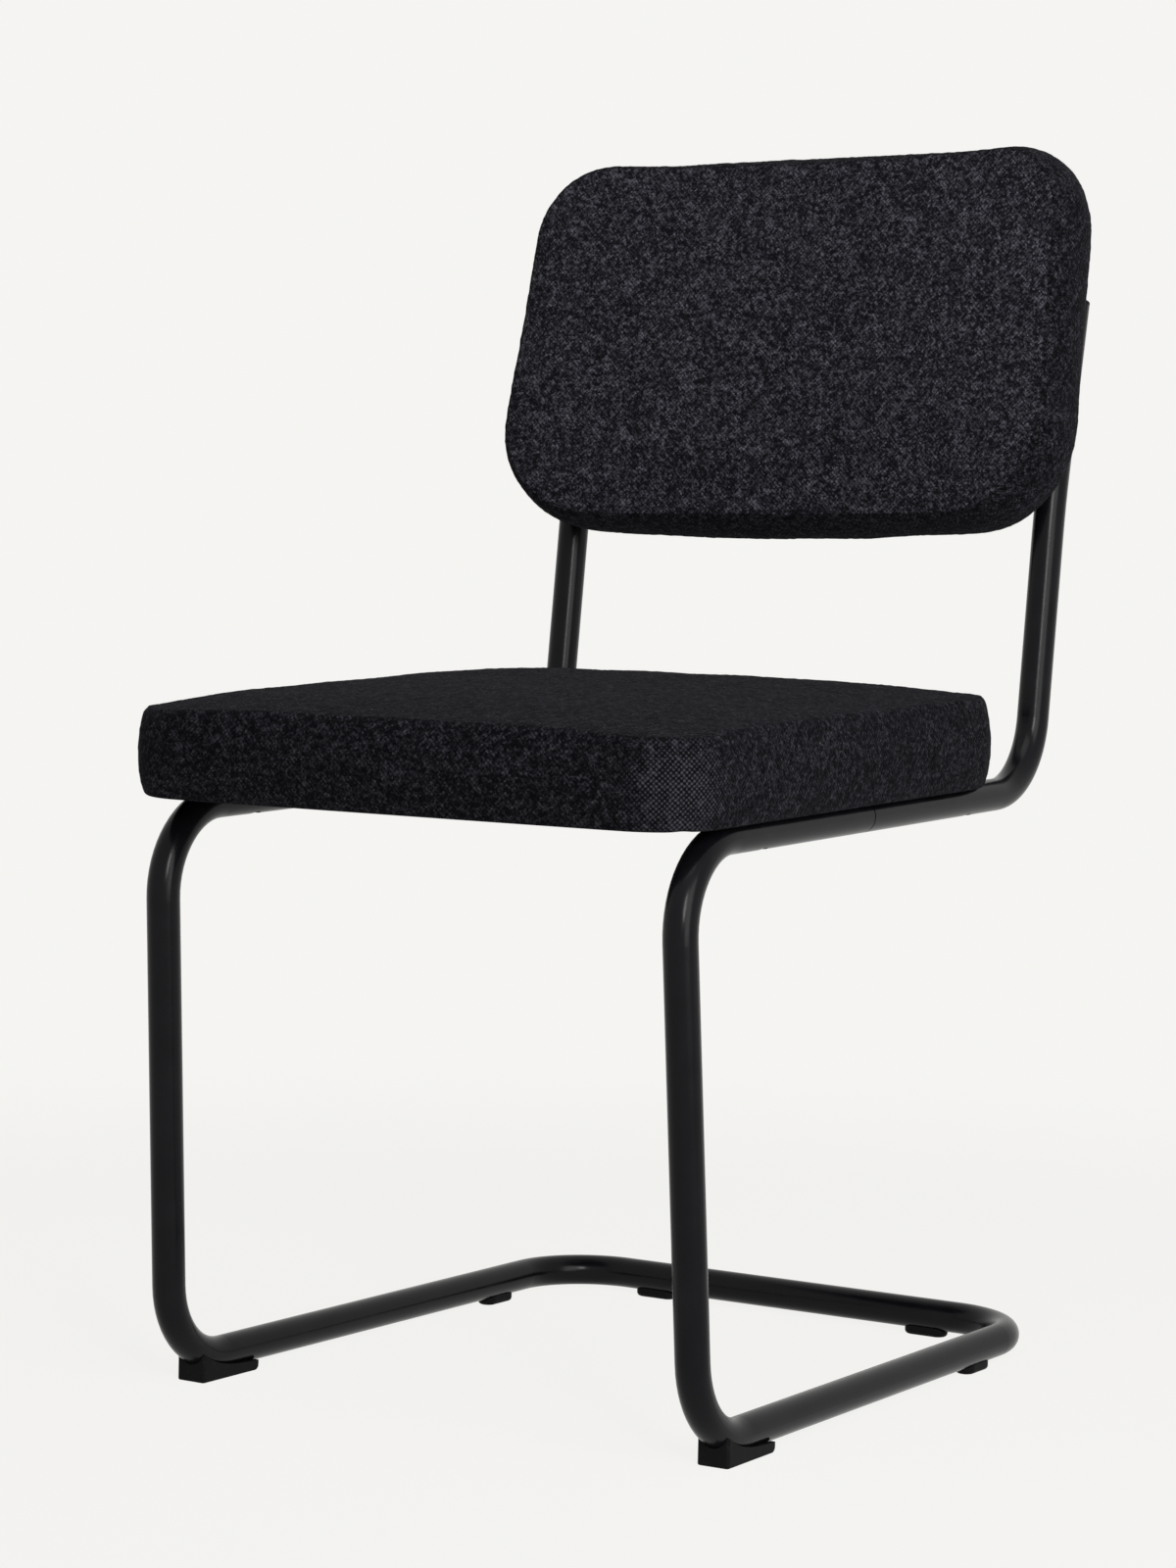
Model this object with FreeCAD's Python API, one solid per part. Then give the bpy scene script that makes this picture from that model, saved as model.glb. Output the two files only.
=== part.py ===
import FreeCAD, Part
import math
import os

from FreeCAD import Placement, Rotation, Vector

# Cantilever chair: a bent tube sled frame, a boxed seat cushion and a curved back cushion
# All sizes are in millimetres and all angles in degrees

# Frame tube
tube_diameter = 23.0
tube_wall = 2.0
corner_bend = 60.0
frame_width = 408.0
foot_spread = 7.0
floor_length = 495.0
floor_gap = 4.5
leg_height = 387.0
leg_reach = 27.5
seat_rail_length = 491.0
seat_rail_rise = 1.5
post_lean = 6.7
kink_distance = 208.0
kink_angle = 4.75
kink_bend = 540.0
post_end_length = 149.0

# Tube joints under the seat and caps on the posts
joint_distance = 239.0
joint_line = 1.2
sleeve_length = 120.0
sleeve_wall = 2.5
sleeve_clearance = 0.1
cap_head = 3.0
cap_edge = 1.5
cap_plug_length = 16.0

# Seat cushion
seat_side_overhang = 22.0
seat_front_overhang = 28.0
seat_depth = 456.0
seat_front_bow = 3.0
seat_front_corner = 46.0
seat_rear_corner = 52.0
seat_border_height = 61.0
seat_border_draw = 4.0
seat_crown = 15.0
crown_run = 160.0
crown_profile = ((0.0, 0.0), (0.1, 0.38), (0.32, 0.70), (0.65, 0.93), (1.0, 1.0))

# Seat inside
cover_thickness = 1.5
soft_gap = 0.3
seat_hem_width = 46.0
seat_board_thickness = 12.0
seat_board_margin = 6.0
seat_board_corner = 37.0
dust_cover_thickness = 1.0
dust_cover_clearance = 3.0
dust_cover_lap = 10.0

# Back cushion
back_side_overhang = 26.0
back_bottom = -25.0
back_top = 245.5
back_thickness = 61.0
back_curve = 1200.0
back_top_corner = 58.0
back_bottom_corner = 74.0
back_taper = 11.5
back_border_draw = 4.0
back_crown = 9.0
back_edge_crown = 1.0
back_corner_stations = (30, 52, 72, 90)

# Back inside
back_board_thickness = 10.0
back_board_margin = 8.0
back_board_end_margin = 14.0
back_lining = 4.0

# Bolts and T-nuts
bolt_diameter = 6.0
seat_bolt_length = 16.0
back_bolt_length = 35.0
bolt_head_diameter = 10.5
bolt_head_height = 3.3
bolt_head_edge = 1.2
bolt_socket = 4.0
bolt_socket_depth = 2.0
bolt_hole_clearance = 0.3
bolt_access_clearance = 1.0
thread_clearance = 0.1
nut_flange_diameter = 16.0
nut_flange_thickness = 1.2
nut_barrel_diameter = 8.0
nut_barrel_length = 6.0
nut_sink = 3.4
nut_clearance = 0.1
seat_bolt_front = 101.0
seat_bolt_rear_margin = 40.0
back_bolt_low = 26.0
back_bolt_high = 115.0

# Feet and glides
foot_start = 22.7
foot_width = 23.6
foot_profile = (
    (0.0, 20.5), (8.0, 16.2), (15.0, 13.0), (23.0, 10.7), (33.0, 8.9), (48.0, 7.6), (63.0, 7.0))
foot_heel = 4.0
foot_front_edge = 2.5
foot_bottom_edge = 1.2
foot_screw_distance = 38.0
screw_diameter = 4.0
screw_length = 9.0
screw_head_diameter = 8.0
screw_head_height = 2.2
screw_sink = 2.5
screw_clearance = 0.1
glide_length = 34.0
glide_width = 15.0
glide_height = 9.0
glide_edge = 3.0
glide_end_flat = 0.3
glide_peg_diameter = 5.0
glide_peg_height = 12.0
rail_glide_distance = 398.0
bar_glide_offset = 118.0
seat_fit = 0.3

tube_radius = tube_diameter / 2
bore_radius = tube_radius - tube_wall
rail_height = tube_radius + floor_gap
back_lean = post_lean + kink_angle
seat_half_width = frame_width / 2 + seat_side_overhang
seat_bolt_rear = seat_depth - seat_front_overhang - seat_bolt_rear_margin
back_half_width = frame_width / 2 + back_side_overhang
along_seat = Vector(0, math.cos(math.radians(seat_rail_rise)), math.sin(math.radians(seat_rail_rise)))
along_post = Vector(0, math.sin(math.radians(post_lean)), math.cos(math.radians(post_lean)))
along_back = Vector(0, math.sin(math.radians(back_lean)), math.cos(math.radians(back_lean)))
seat_origin = Vector(0, -leg_reach, rail_height + leg_height)
post_foot = seat_origin + along_seat * seat_rail_length
back_origin = post_foot + along_post * kink_distance
seat_place = Placement(seat_origin, Rotation(Vector(1, 0, 0), seat_rail_rise))
back_place = Placement(back_origin, Rotation(Vector(1, 0, 0), -back_lean))

# The seat cushion lies on the rails and the back cushion against the front of the posts
seat_bottom = tube_radius + soft_gap
seat_board_bottom = seat_bottom + cover_thickness + soft_gap
seat_bolt_seat = math.sqrt(bore_radius ** 2 - (bolt_head_diameter / 2) ** 2) - thread_clearance
back_axis_distance = back_curve + tube_radius + soft_gap
back_center = -math.sqrt(back_axis_distance ** 2 - (frame_width / 2) ** 2)


def to_side(point, side, spread=0.0):
    return point + Vector(side * (frame_width / 2 + spread), 0, 0)


def rounded_path(points, radii):
    """Line segments joined by tangent arcs."""
    edges = []
    start = points[0]
    for before, corner, after, radius in zip(points, points[1:], points[2:], radii):
        back = (before - corner).normalize()
        ahead = (after - corner).normalize()
        half_angle = back.getAngle(ahead) / 2
        trim = radius / math.tan(half_angle)
        arc_start = corner + back * trim
        arc_end = corner + ahead * trim
        middle = corner + (back + ahead).normalize() * (radius / math.sin(half_angle) - radius)
        edges.append(Part.LineSegment(start, arc_start).toShape())
        edges.append(Part.Arc(arc_start, middle, arc_end).toShape())
        start = arc_end
    edges.append(Part.LineSegment(start, points[-1]).toShape())
    return Part.Wire(edges)


def pipe(path, radius):
    first = path.OrderedEdges[0]
    start = first.valueAt(first.FirstParameter)
    direction = first.tangentAt(first.FirstParameter)
    profile = Part.Wire(Part.makeCircle(radius, start, direction))
    return path.makePipeShell([profile], True, False)


def hollow_tube(path):
    return pipe(path, tube_radius).cut(pipe(path, bore_radius))


def rod(radius, start, end):
    return Part.makeCylinder(radius, start.distanceToPoint(end), start, end - start)


def base_path():
    """From the right joint round the floor to the left joint."""
    joint = seat_origin + along_seat * (joint_distance - joint_line / 2)
    front_floor = Vector(0, 0, rail_height)
    rear_floor = Vector(0, floor_length, rail_height)
    right = [
        to_side(joint, 1),
        to_side(seat_origin, 1),
        to_side(front_floor, 1, foot_spread),
        to_side(rear_floor, 1),
    ]
    left = [Vector(-point.x, point.y, point.z) for point in reversed(right)]
    return rounded_path(right + left, [corner_bend] * 6)


def post_path(side):
    joint = seat_origin + along_seat * (joint_distance + joint_line / 2)
    end = back_origin + along_back * post_end_length
    points = [to_side(point, side) for point in (joint, post_foot, back_origin, end)]
    return rounded_path(points, [corner_bend, kink_bend])


def seat_bolt_spots(sides=(-1, 1)):
    return [(side * frame_width / 2, run) for side in sides for run in (seat_bolt_front, seat_bolt_rear)]


def back_bolt_spots(sides=(-1, 1)):
    return [(side * frame_width / 2, run) for side in sides for run in (back_bolt_low, back_bolt_high)]


def drill_rail(shape, x, run):
    """A bolt hole through the top of the tube and a wider access hole below it."""
    hole = bolt_diameter / 2 + bolt_hole_clearance
    access = bolt_head_diameter / 2 + bolt_access_clearance
    shape = shape.cut(seat_rod(hole, x, run, 0.0, tube_diameter))
    return shape.cut(seat_rod(access, x, run, -tube_diameter, 0.0))


def seat_rod(radius, x, run, low, high):
    """A round rod square to the seat rails."""
    shape = Part.makeCylinder(radius, high - low, Vector(x, run, low), Vector(0, 0, 1))
    shape.Placement = seat_place
    return shape


def back_rod(radius, x, run, front, rear):
    """A round rod square to the upper posts."""
    shape = Part.makeCylinder(radius, rear - front, Vector(x, front, run), Vector(0, 1, 0))
    shape.Placement = back_place
    return shape


def glide_spots():
    """Place and direction along the tube of the four rear glides."""
    spots = {}
    for name, side in (("left", -1), ("right", 1)):
        front = to_side(Vector(0, 0, rail_height), side, foot_spread)
        rear = to_side(Vector(0, floor_length, rail_height), side)
        direction = (rear - front).normalize()
        spots["rail_glide_" + name] = (front + direction * rail_glide_distance, direction)
        bar = Vector(side * bar_glide_offset, floor_length, rail_height)
        spots["bar_glide_" + name] = (bar, Vector(1, 0, 0))
    return spots


def foot_frame(side):
    """Floor point below the front bend and direction of the floor rail."""
    front = to_side(Vector(0, 0, 0), side, foot_spread)
    rear = to_side(Vector(0, floor_length, 0), side)
    return front, (rear - front).normalize()


def foot_screw_spot(side):
    front, direction = foot_frame(side)
    return front + direction * (foot_start + foot_screw_distance)


def base_frame():
    shape = hollow_tube(base_path())
    for x, run in seat_bolt_spots():
        if run < joint_distance:
            shape = drill_rail(shape, x, run)
    for spot, direction in glide_spots().values():
        peg_hole = glide_peg_diameter / 2 + seat_fit
        shape = shape.cut(rod(peg_hole, spot - Vector(0, 0, tube_diameter), spot))
    for side in (-1, 1):
        spot = foot_screw_spot(side)
        screw_hole = screw_diameter / 2 + screw_clearance
        shape = shape.cut(rod(screw_hole, spot, spot + Vector(0, 0, rail_height)))
    return shape


def back_post(side):
    shape = hollow_tube(post_path(side))
    for x, run in seat_bolt_spots([side]):
        if run > joint_distance:
            shape = drill_rail(shape, x, run)
    hole = bolt_diameter / 2 + bolt_hole_clearance
    for x, run in back_bolt_spots([side]):
        shape = shape.cut(back_rod(hole, x, run, -tube_diameter, tube_diameter))
    return shape


def joint_sleeve(side):
    outer = bore_radius - sleeve_clearance
    middle = to_side(seat_origin + along_seat * joint_distance, side)
    start = middle - along_seat * (sleeve_length / 2)
    end = middle + along_seat * (sleeve_length / 2)
    return rod(outer, start, end).cut(rod(outer - sleeve_wall, start, end))


def post_cap(side):
    end = to_side(back_origin + along_back * post_end_length, side)
    head = rod(tube_radius, end, end + along_back * cap_head)
    rim = [edge for edge in head.Edges if edge.CenterOfMass.distanceToPoint(end) > cap_head / 2]
    rim = [edge for edge in rim if isinstance(edge.Curve, Part.Circle)]
    head = head.makeFillet(cap_edge, rim)
    plug = rod(bore_radius - sleeve_clearance, end - along_back * cap_plug_length, end)
    return head.fuse(plug).removeSplitter()


def rounded_outline(half_width, front, rear, front_corner, rear_corner, height=0.0, bow=0.0):
    """Rounded rectangle of lines and arcs, with a bowed front edge."""

    def at(x, y):
        return Vector(x, y, height)

    def corner(x, y, radius, start):
        angles = [math.radians(start + turn) for turn in (0, 45, 90)]
        return [at(x + radius * math.cos(angle), y + radius * math.sin(angle)) for angle in angles]

    right_front = corner(half_width - front_corner, front + front_corner, front_corner, 270)
    right_rear = corner(half_width - rear_corner, rear - rear_corner, rear_corner, 0)
    left_rear = corner(rear_corner - half_width, rear - rear_corner, rear_corner, 90)
    left_front = corner(front_corner - half_width, front + front_corner, front_corner, 180)
    if bow > 0:
        front_edge = Part.Arc(left_front[2], at(0, front - bow), right_front[0])
    else:
        front_edge = Part.LineSegment(left_front[2], right_front[0])
    loop = [
        front_edge,
        Part.Arc(*right_front),
        Part.LineSegment(right_front[2], right_rear[0]),
        Part.Arc(*right_rear),
        Part.LineSegment(right_rear[2], left_rear[0]),
        Part.Arc(*left_rear),
        Part.LineSegment(left_rear[2], left_front[0]),
        Part.Arc(*left_front),
    ]
    return Part.Wire([curve.toShape() for curve in loop])


def seat_outline(inset, height, bow=seat_front_bow):
    front = inset - seat_front_overhang
    rear = seat_depth - seat_front_overhang - inset
    half_width = seat_half_width - inset
    share = half_width / seat_half_width
    return rounded_outline(
        half_width, front, rear, seat_front_corner * share, seat_rear_corner * share, height, bow)


def seat_pad(inset):
    """Boxed cushion body: a border that swells at mid height, then the crown above the seam."""
    low = seat_bottom + inset
    seam = seat_bottom + seat_border_height - inset
    middle = (low + seam) / 2
    drawn = inset + seat_border_draw
    border = Part.makeLoft([
        seat_outline(drawn, low),
        seat_outline(inset, middle),
        seat_outline(drawn, seam),
    ], True, False)
    crown = Part.makeLoft([
        seat_outline(drawn + run * crown_run, seam + rise * seat_crown) for run, rise in crown_profile
    ], True, False)
    return border.fuse(crown)


def seat_board_block(grow, low, high):
    inset = seat_border_draw + seat_board_margin - grow
    outline = rounded_outline(
        seat_half_width - inset, inset - seat_front_overhang, seat_depth - seat_front_overhang - inset,
        seat_board_corner, seat_board_corner, low)
    return Part.Face(outline).extrude(Vector(0, 0, high - low))


def seat_cover():
    shape = seat_pad(0.0).cut(seat_pad(cover_thickness))
    opening = Part.Face(seat_outline(seat_hem_width, 0.0)).extrude(Vector(0, 0, seat_board_bottom))
    shape = shape.cut(opening)
    shape.Placement = seat_place
    for x, run in seat_bolt_spots():
        hole = bolt_diameter / 2 + bolt_hole_clearance
        shape = shape.cut(seat_rod(hole, x, run, 0.0, seat_board_bottom))
    return shape


def seat_foam():
    board_top = seat_board_bottom + seat_board_thickness
    shape = seat_pad(cover_thickness + soft_gap)
    shape = shape.cut(seat_board_block(soft_gap, 0.0, board_top + soft_gap))
    shape.Placement = seat_place
    return shape


def seat_board():
    top = seat_board_bottom + seat_board_thickness
    shape = seat_board_block(0.0, seat_board_bottom, top)
    shape.Placement = seat_place
    for x, run in seat_bolt_spots():
        barrel = nut_barrel_diameter / 2 + nut_clearance
        flange = nut_flange_diameter / 2 + nut_clearance
        shape = shape.cut(seat_rod(barrel, x, run, seat_board_bottom, top))
        shape = shape.cut(seat_rod(flange, x, run, top - nut_sink, top))
    return shape


def dust_cover():
    top = seat_bottom - soft_gap
    half_width = frame_width / 2 - tube_radius - dust_cover_clearance
    inset = seat_hem_width - dust_cover_lap
    front = inset - seat_front_overhang
    rear = seat_depth - seat_front_overhang - inset
    outline = rounded_outline(half_width, front, rear, dust_cover_lap, dust_cover_lap, top)
    shape = Part.Face(outline).extrude(Vector(0, 0, -dust_cover_thickness))
    shape.Placement = seat_place
    return shape


def back_stations():
    """Where the back cushion's sections stand, closer together round the corners."""
    corner = max(back_top_corner, back_bottom_corner)
    straight = back_half_width - corner
    shares = [math.sin(math.radians(angle)) for angle in back_corner_stations]
    half = [straight / 2, straight] + [straight + corner * share for share in shares]
    return [-x for x in reversed(half)] + [0.0] + half


def corner_drop(x, corner, inset):
    """How far the outline has turned in at a distance from the middle."""
    radius = corner - inset
    past = max(abs(x) - (back_half_width - corner), 0.0)
    past = min(past * radius / corner, radius)
    return radius - math.sqrt(radius ** 2 - past ** 2)


def back_section(x, inset, end_inset, rear_depth, front_depth, draw=0.0, crown=0.0):
    """Closed outline across the back: rear line, top, front and bottom, at depths from the rear face."""
    place = x * (back_half_width - inset) / back_half_width
    top = back_top - end_inset - corner_drop(x, back_top_corner, inset)
    bottom = back_bottom + end_inset + corner_drop(x, back_bottom_corner, inset)
    rear = curve_at(place, rear_depth)
    front = curve_at(place, front_depth)
    middle = (front + rear) / 2

    def at(y, z):
        return Vector(place * taper_at(z), y, z)

    def edge(start, between, end, bulge):
        if bulge > 0:
            return Part.Arc(start, between, end).toShape()
        return Part.LineSegment(start, end).toShape()

    rear_low = at(rear, bottom)
    rear_high = at(rear, top)
    front_low = at(front, bottom)
    front_high = at(front, top)
    return Part.Wire([
        Part.LineSegment(rear_low, rear_high).toShape(),
        edge(rear_high, at(middle, top + draw), front_high, draw),
        edge(front_high, at(front - crown, (top + bottom) / 2), front_low, crown),
        edge(front_low, at(middle, bottom - draw), rear_low, draw),
    ])


def curve_at(x, depth):
    """Where the curved back stands, measured from the post axis, a depth in front of its rear face."""
    return back_center + math.sqrt((back_curve - depth) ** 2 - x ** 2)


def taper_at(z):
    return 1 - (z - back_bottom) / (back_top - back_bottom) * back_taper / back_half_width


def back_pad(inset):
    sections = []
    for x in back_stations():
        crown = back_edge_crown + back_crown * (1 - (x / back_half_width) ** 2)
        sections.append(
            back_section(x, inset, inset, inset, back_thickness - inset, back_border_draw, crown))
    return Part.makeLoft(sections, True, False)


def back_plate(grow, rear_depth, front_depth):
    """Plate bent to the back's curve, with the cushion's outline less the board's margins."""
    side_inset = back_board_margin - grow
    end_inset = back_board_end_margin - grow
    sections = [
        back_section(x, side_inset, end_inset, rear_depth, front_depth) for x in back_stations()
    ]
    return Part.makeLoft(sections, True, False)


lining_rear = cover_thickness + soft_gap
board_rear = lining_rear + back_lining + soft_gap
board_front = board_rear + back_board_thickness


def back_cover():
    shape = back_pad(0.0).cut(back_pad(cover_thickness))
    shape.Placement = back_place
    for x, run in back_bolt_spots():
        hole = bolt_diameter / 2 + bolt_hole_clearance
        shape = shape.cut(back_rod(hole, x, run, -back_thickness / 2, 0.0))
    return shape


def back_foam():
    shape = back_pad(cover_thickness + soft_gap)
    room = back_plate(soft_gap, -cover_thickness, board_front + soft_gap)
    shape = shape.cut(room)
    shape.Placement = back_place
    return shape


def back_lining_pad():
    shape = back_plate(0.0, lining_rear, board_rear - soft_gap)
    shape.Placement = back_place
    for x, run in back_bolt_spots():
        hole = bolt_diameter / 2 + bolt_hole_clearance
        shape = shape.cut(back_rod(hole, x, run, -back_thickness, 0.0))
    return shape


def nut_face(run):
    """Depth of a T-nut flange's seat in the back board, measured from the post axis."""
    return curve_at(frame_width / 2 / taper_at(run), board_front) + nut_sink


def back_board():
    shape = back_plate(0.0, board_rear, board_front)
    shape.Placement = back_place
    for x, run in back_bolt_spots():
        barrel = nut_barrel_diameter / 2 + nut_clearance
        flange = nut_flange_diameter / 2 + nut_clearance
        shape = shape.cut(back_rod(barrel, x, run, -back_thickness, 0.0))
        shape = shape.cut(back_rod(flange, x, run, -back_thickness, nut_face(run)))
    return shape


def bolt(length):
    """Button-head bolt with its head below the origin and its shank up the Z axis."""
    head = Part.makeCylinder(bolt_head_diameter / 2, bolt_head_height, Vector(0, 0, -bolt_head_height))
    rim = [edge for edge in head.Edges if abs(edge.CenterOfMass.z + bolt_head_height) < 0.01]
    head = head.makeFillet(bolt_head_edge, rim)
    shank = Part.makeCylinder(bolt_diameter / 2, length)
    points = []
    for turn in range(7):
        angle = math.radians(60 * turn)
        reach = bolt_socket / 2 / math.cos(math.radians(30))
        points.append(Vector(reach * math.cos(angle), reach * math.sin(angle), -bolt_head_height))
    socket = Part.Face(Part.makePolygon(points)).extrude(Vector(0, 0, bolt_socket_depth))
    return head.fuse(shank).cut(socket)


def t_nut():
    """T-nut with its flange's seat at the origin and its barrel down the Z axis."""
    flange = Part.makeCylinder(nut_flange_diameter / 2, nut_flange_thickness)
    barrel = Part.makeCylinder(nut_barrel_diameter / 2, nut_barrel_length, Vector(0, 0, -nut_barrel_length))
    bore = Part.makeCylinder(
        bolt_diameter / 2 + thread_clearance, nut_barrel_length + nut_flange_thickness,
        Vector(0, 0, -nut_barrel_length))
    return flange.fuse(barrel).cut(bore)


def placed_copies(shape, spots, place, turn):
    """One solid for each spot, turned and set in a cushion's frame."""
    copies = []
    for spot in spots:
        copy = shape.copy()
        copy.Placement = place.multiply(Placement(spot, Rotation(Vector(1, 0, 0), turn)))
        copies.append(copy)
    return Part.makeCompound(copies)


def seat_bolts():
    """The heads stand inside the rails, under the tube's upper wall."""
    spots = [Vector(x, run, seat_bolt_seat) for x, run in seat_bolt_spots()]
    return placed_copies(bolt(seat_bolt_length), spots, seat_place, 0)


def seat_nuts():
    height = seat_board_bottom + seat_board_thickness - nut_sink
    spots = [Vector(x, run, height) for x, run in seat_bolt_spots()]
    return placed_copies(t_nut(), spots, seat_place, 0)


def back_bolts():
    spots = [Vector(x, tube_radius, run) for x, run in back_bolt_spots()]
    return placed_copies(bolt(back_bolt_length), spots, back_place, 90)


def back_nuts():
    spots = [Vector(x, nut_face(run), run) for x, run in back_bolt_spots()]
    return placed_copies(t_nut(), spots, back_place, 90)


def front_foot(side):
    """Saddle under the front bend, its upper edge swept down from a tall front."""
    front, direction = foot_frame(side)
    foot_length, foot_rear_height = foot_profile[-1]

    def at(run, height):
        return Vector(-foot_width / 2, foot_start + run, height)

    sweep = Part.BSplineCurve()
    sweep.interpolate([at(run, height) for run, height in foot_profile])
    heel_turn = foot_heel * (1 - math.sqrt(0.5))
    outline = Part.Wire([
        Part.LineSegment(at(0, 0), at(*foot_profile[0])).toShape(),
        sweep.toShape(),
        Part.LineSegment(at(foot_length, foot_rear_height), at(foot_length, foot_heel)).toShape(),
        Part.Arc(
            at(foot_length, foot_heel), at(foot_length - heel_turn, heel_turn), at(foot_length - foot_heel, 0)
        ).toShape(),
        Part.LineSegment(at(foot_length - foot_heel, 0), at(0, 0)).toShape(),
    ])
    block = Part.Face(outline).extrude(Vector(foot_width, 0, 0))
    at_front = [edge for edge in block.Edges if edge.BoundBox.YMax < foot_start + 0.01]
    block = block.makeFillet(foot_front_edge, [edge for edge in at_front if edge.BoundBox.XLength < 0.01])
    bottom = [edge for edge in block.Edges if edge.BoundBox.ZMax < 0.01]
    bottom = [edge for edge in bottom if edge.BoundBox.YMin < foot_start + foot_length / 2]
    block = block.makeFillet(foot_bottom_edge, bottom)
    turn = math.degrees(math.atan2(-direction.x, direction.y))
    block.Placement = Placement(front, Rotation(Vector(0, 0, 1), turn))
    block = block.cut(pipe(base_path(), tube_radius + seat_fit))
    spot = foot_screw_spot(side)
    shank = rod(screw_diameter / 2 + screw_clearance, spot, spot + Vector(0, 0, rail_height))
    head = rod(screw_head_diameter / 2 + seat_fit, spot, spot + Vector(0, 0, screw_sink))
    return block.cut(shank).cut(head)


def foot_screws():
    screws = []
    for side in (-1, 1):
        spot = foot_screw_spot(side)
        seat = spot + Vector(0, 0, screw_sink)
        head = rod(screw_head_diameter / 2, seat - Vector(0, 0, screw_head_height), seat)
        screws.append(head.fuse(rod(screw_diameter / 2, seat, seat + Vector(0, 0, screw_length))))
    return Part.makeCompound(screws)


def glide(spot, direction):
    """Low pad that hugs the tube from below, with a peg through the tube wall."""
    end_radius = (glide_width - glide_end_flat) / 2
    block = Part.Face(rounded_outline(
        glide_width / 2, -glide_length / 2, glide_length / 2, end_radius, end_radius
    )).extrude(Vector(0, 0, glide_height))
    bottom = [edge for edge in block.Edges if abs(edge.BoundBox.ZMax) < 0.01]
    block = block.makeFillet(glide_edge, bottom)
    turn = math.degrees(math.atan2(-direction.x, direction.y))
    floor_spot = Vector(spot.x, spot.y, 0)
    block.Placement = Placement(floor_spot, Rotation(Vector(0, 0, 1), turn))
    reach = direction * glide_length
    block = block.cut(rod(tube_radius + seat_fit, spot - reach, spot + reach))
    peg = rod(glide_peg_diameter / 2, floor_spot + Vector(0, 0, glide_edge),
              floor_spot + Vector(0, 0, glide_peg_height))
    return block.fuse(peg)


def chair():
    """Every sub-part, with the frame's front floor corner line at y = 0."""
    nodes = {
        "base_frame": base_frame(),
        "seat_board": seat_board(),
        "seat_foam": seat_foam(),
        "seat_cover": seat_cover(),
        "seat_dust_cover": dust_cover(),
        "seat_bolts": seat_bolts(),
        "seat_t_nuts": seat_nuts(),
        "back_board": back_board(),
        "back_foam": back_foam(),
        "back_lining": back_lining_pad(),
        "back_cover": back_cover(),
        "back_bolts": back_bolts(),
        "back_t_nuts": back_nuts(),
        "foot_screws": foot_screws(),
    }
    for name, side in (("left", -1), ("right", 1)):
        nodes["back_post_" + name] = back_post(side)
        nodes["joint_sleeve_" + name] = joint_sleeve(side)
        nodes["post_cap_" + name] = post_cap(side)
        nodes["front_foot_" + name] = front_foot(side)
    for name, (spot, direction) in glide_spots().items():
        nodes[name] = glide(spot, direction)
    return nodes


def export(nodes):
    """Stands the chair with its origin on the floor under the middle of its box."""
    box = Part.makeCompound(list(nodes.values())).optimalBoundingBox(True, False)
    to_origin = Vector(-box.Center.x, -box.Center.y, -box.ZMin)
    print("origin moved by", round(to_origin.x, 3), round(to_origin.y, 3), round(to_origin.z, 3))
    os.makedirs("parts", exist_ok=True)
    for name, shape in nodes.items():
        shape.translate(to_origin)
        shape.exportStep("parts/" + name + ".step")
        print(name, "solids", len(shape.Solids), "valid", shape.isValid(), "volume", round(shape.Volume))


export(chair())
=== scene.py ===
import math

import bpy
from mathutils import Matrix, Vector, noise


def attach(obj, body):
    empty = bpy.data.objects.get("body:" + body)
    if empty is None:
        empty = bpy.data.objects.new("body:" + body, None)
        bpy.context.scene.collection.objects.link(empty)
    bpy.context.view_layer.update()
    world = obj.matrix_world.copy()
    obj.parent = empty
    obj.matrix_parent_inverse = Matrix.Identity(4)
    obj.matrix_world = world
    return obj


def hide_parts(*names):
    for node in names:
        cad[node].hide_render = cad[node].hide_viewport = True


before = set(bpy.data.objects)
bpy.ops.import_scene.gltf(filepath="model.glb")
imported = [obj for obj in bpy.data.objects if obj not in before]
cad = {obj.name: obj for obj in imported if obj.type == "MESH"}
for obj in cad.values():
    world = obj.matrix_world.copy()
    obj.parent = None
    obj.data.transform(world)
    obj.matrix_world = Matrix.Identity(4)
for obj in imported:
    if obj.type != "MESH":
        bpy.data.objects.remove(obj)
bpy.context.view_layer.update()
scene = bpy.context.scene
print("frame loaded:", len(cad), "nodes")


# camera, as the photograph was taken
camera = {
    "place": (1.53716, -2.49359, 0.61245),
    "yaw": 0.561787,
    "pitch": -0.0651114,
    "roll": 0.0222998,
    "lens": 95.44,
    "shiftY": -0.0033,
}


def aimCamera():
    yaw, pitch, roll = camera["yaw"], camera["pitch"], camera["roll"]
    ahead = Vector((-math.sin(yaw) * math.cos(pitch), math.cos(yaw) * math.cos(pitch), math.sin(pitch)))
    level = Vector((math.cos(yaw), math.sin(yaw), 0))
    above = level.cross(ahead)
    right = math.cos(roll) * level + math.sin(roll) * above
    up = math.cos(roll) * above - math.sin(roll) * level
    data = bpy.data.cameras.new("photoCamera")
    data.lens = camera["lens"]
    data.sensor_width = 36
    data.shift_y = camera["shiftY"]
    made = bpy.data.objects.new("photoCamera", data)
    scene.collection.objects.link(made)
    turn = Matrix((right, up, -ahead)).transposed().to_4x4()
    made.matrix_world = Matrix.Translation(camera["place"]) @ turn
    scene.camera = made


aimCamera()
print("camera set")


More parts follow.
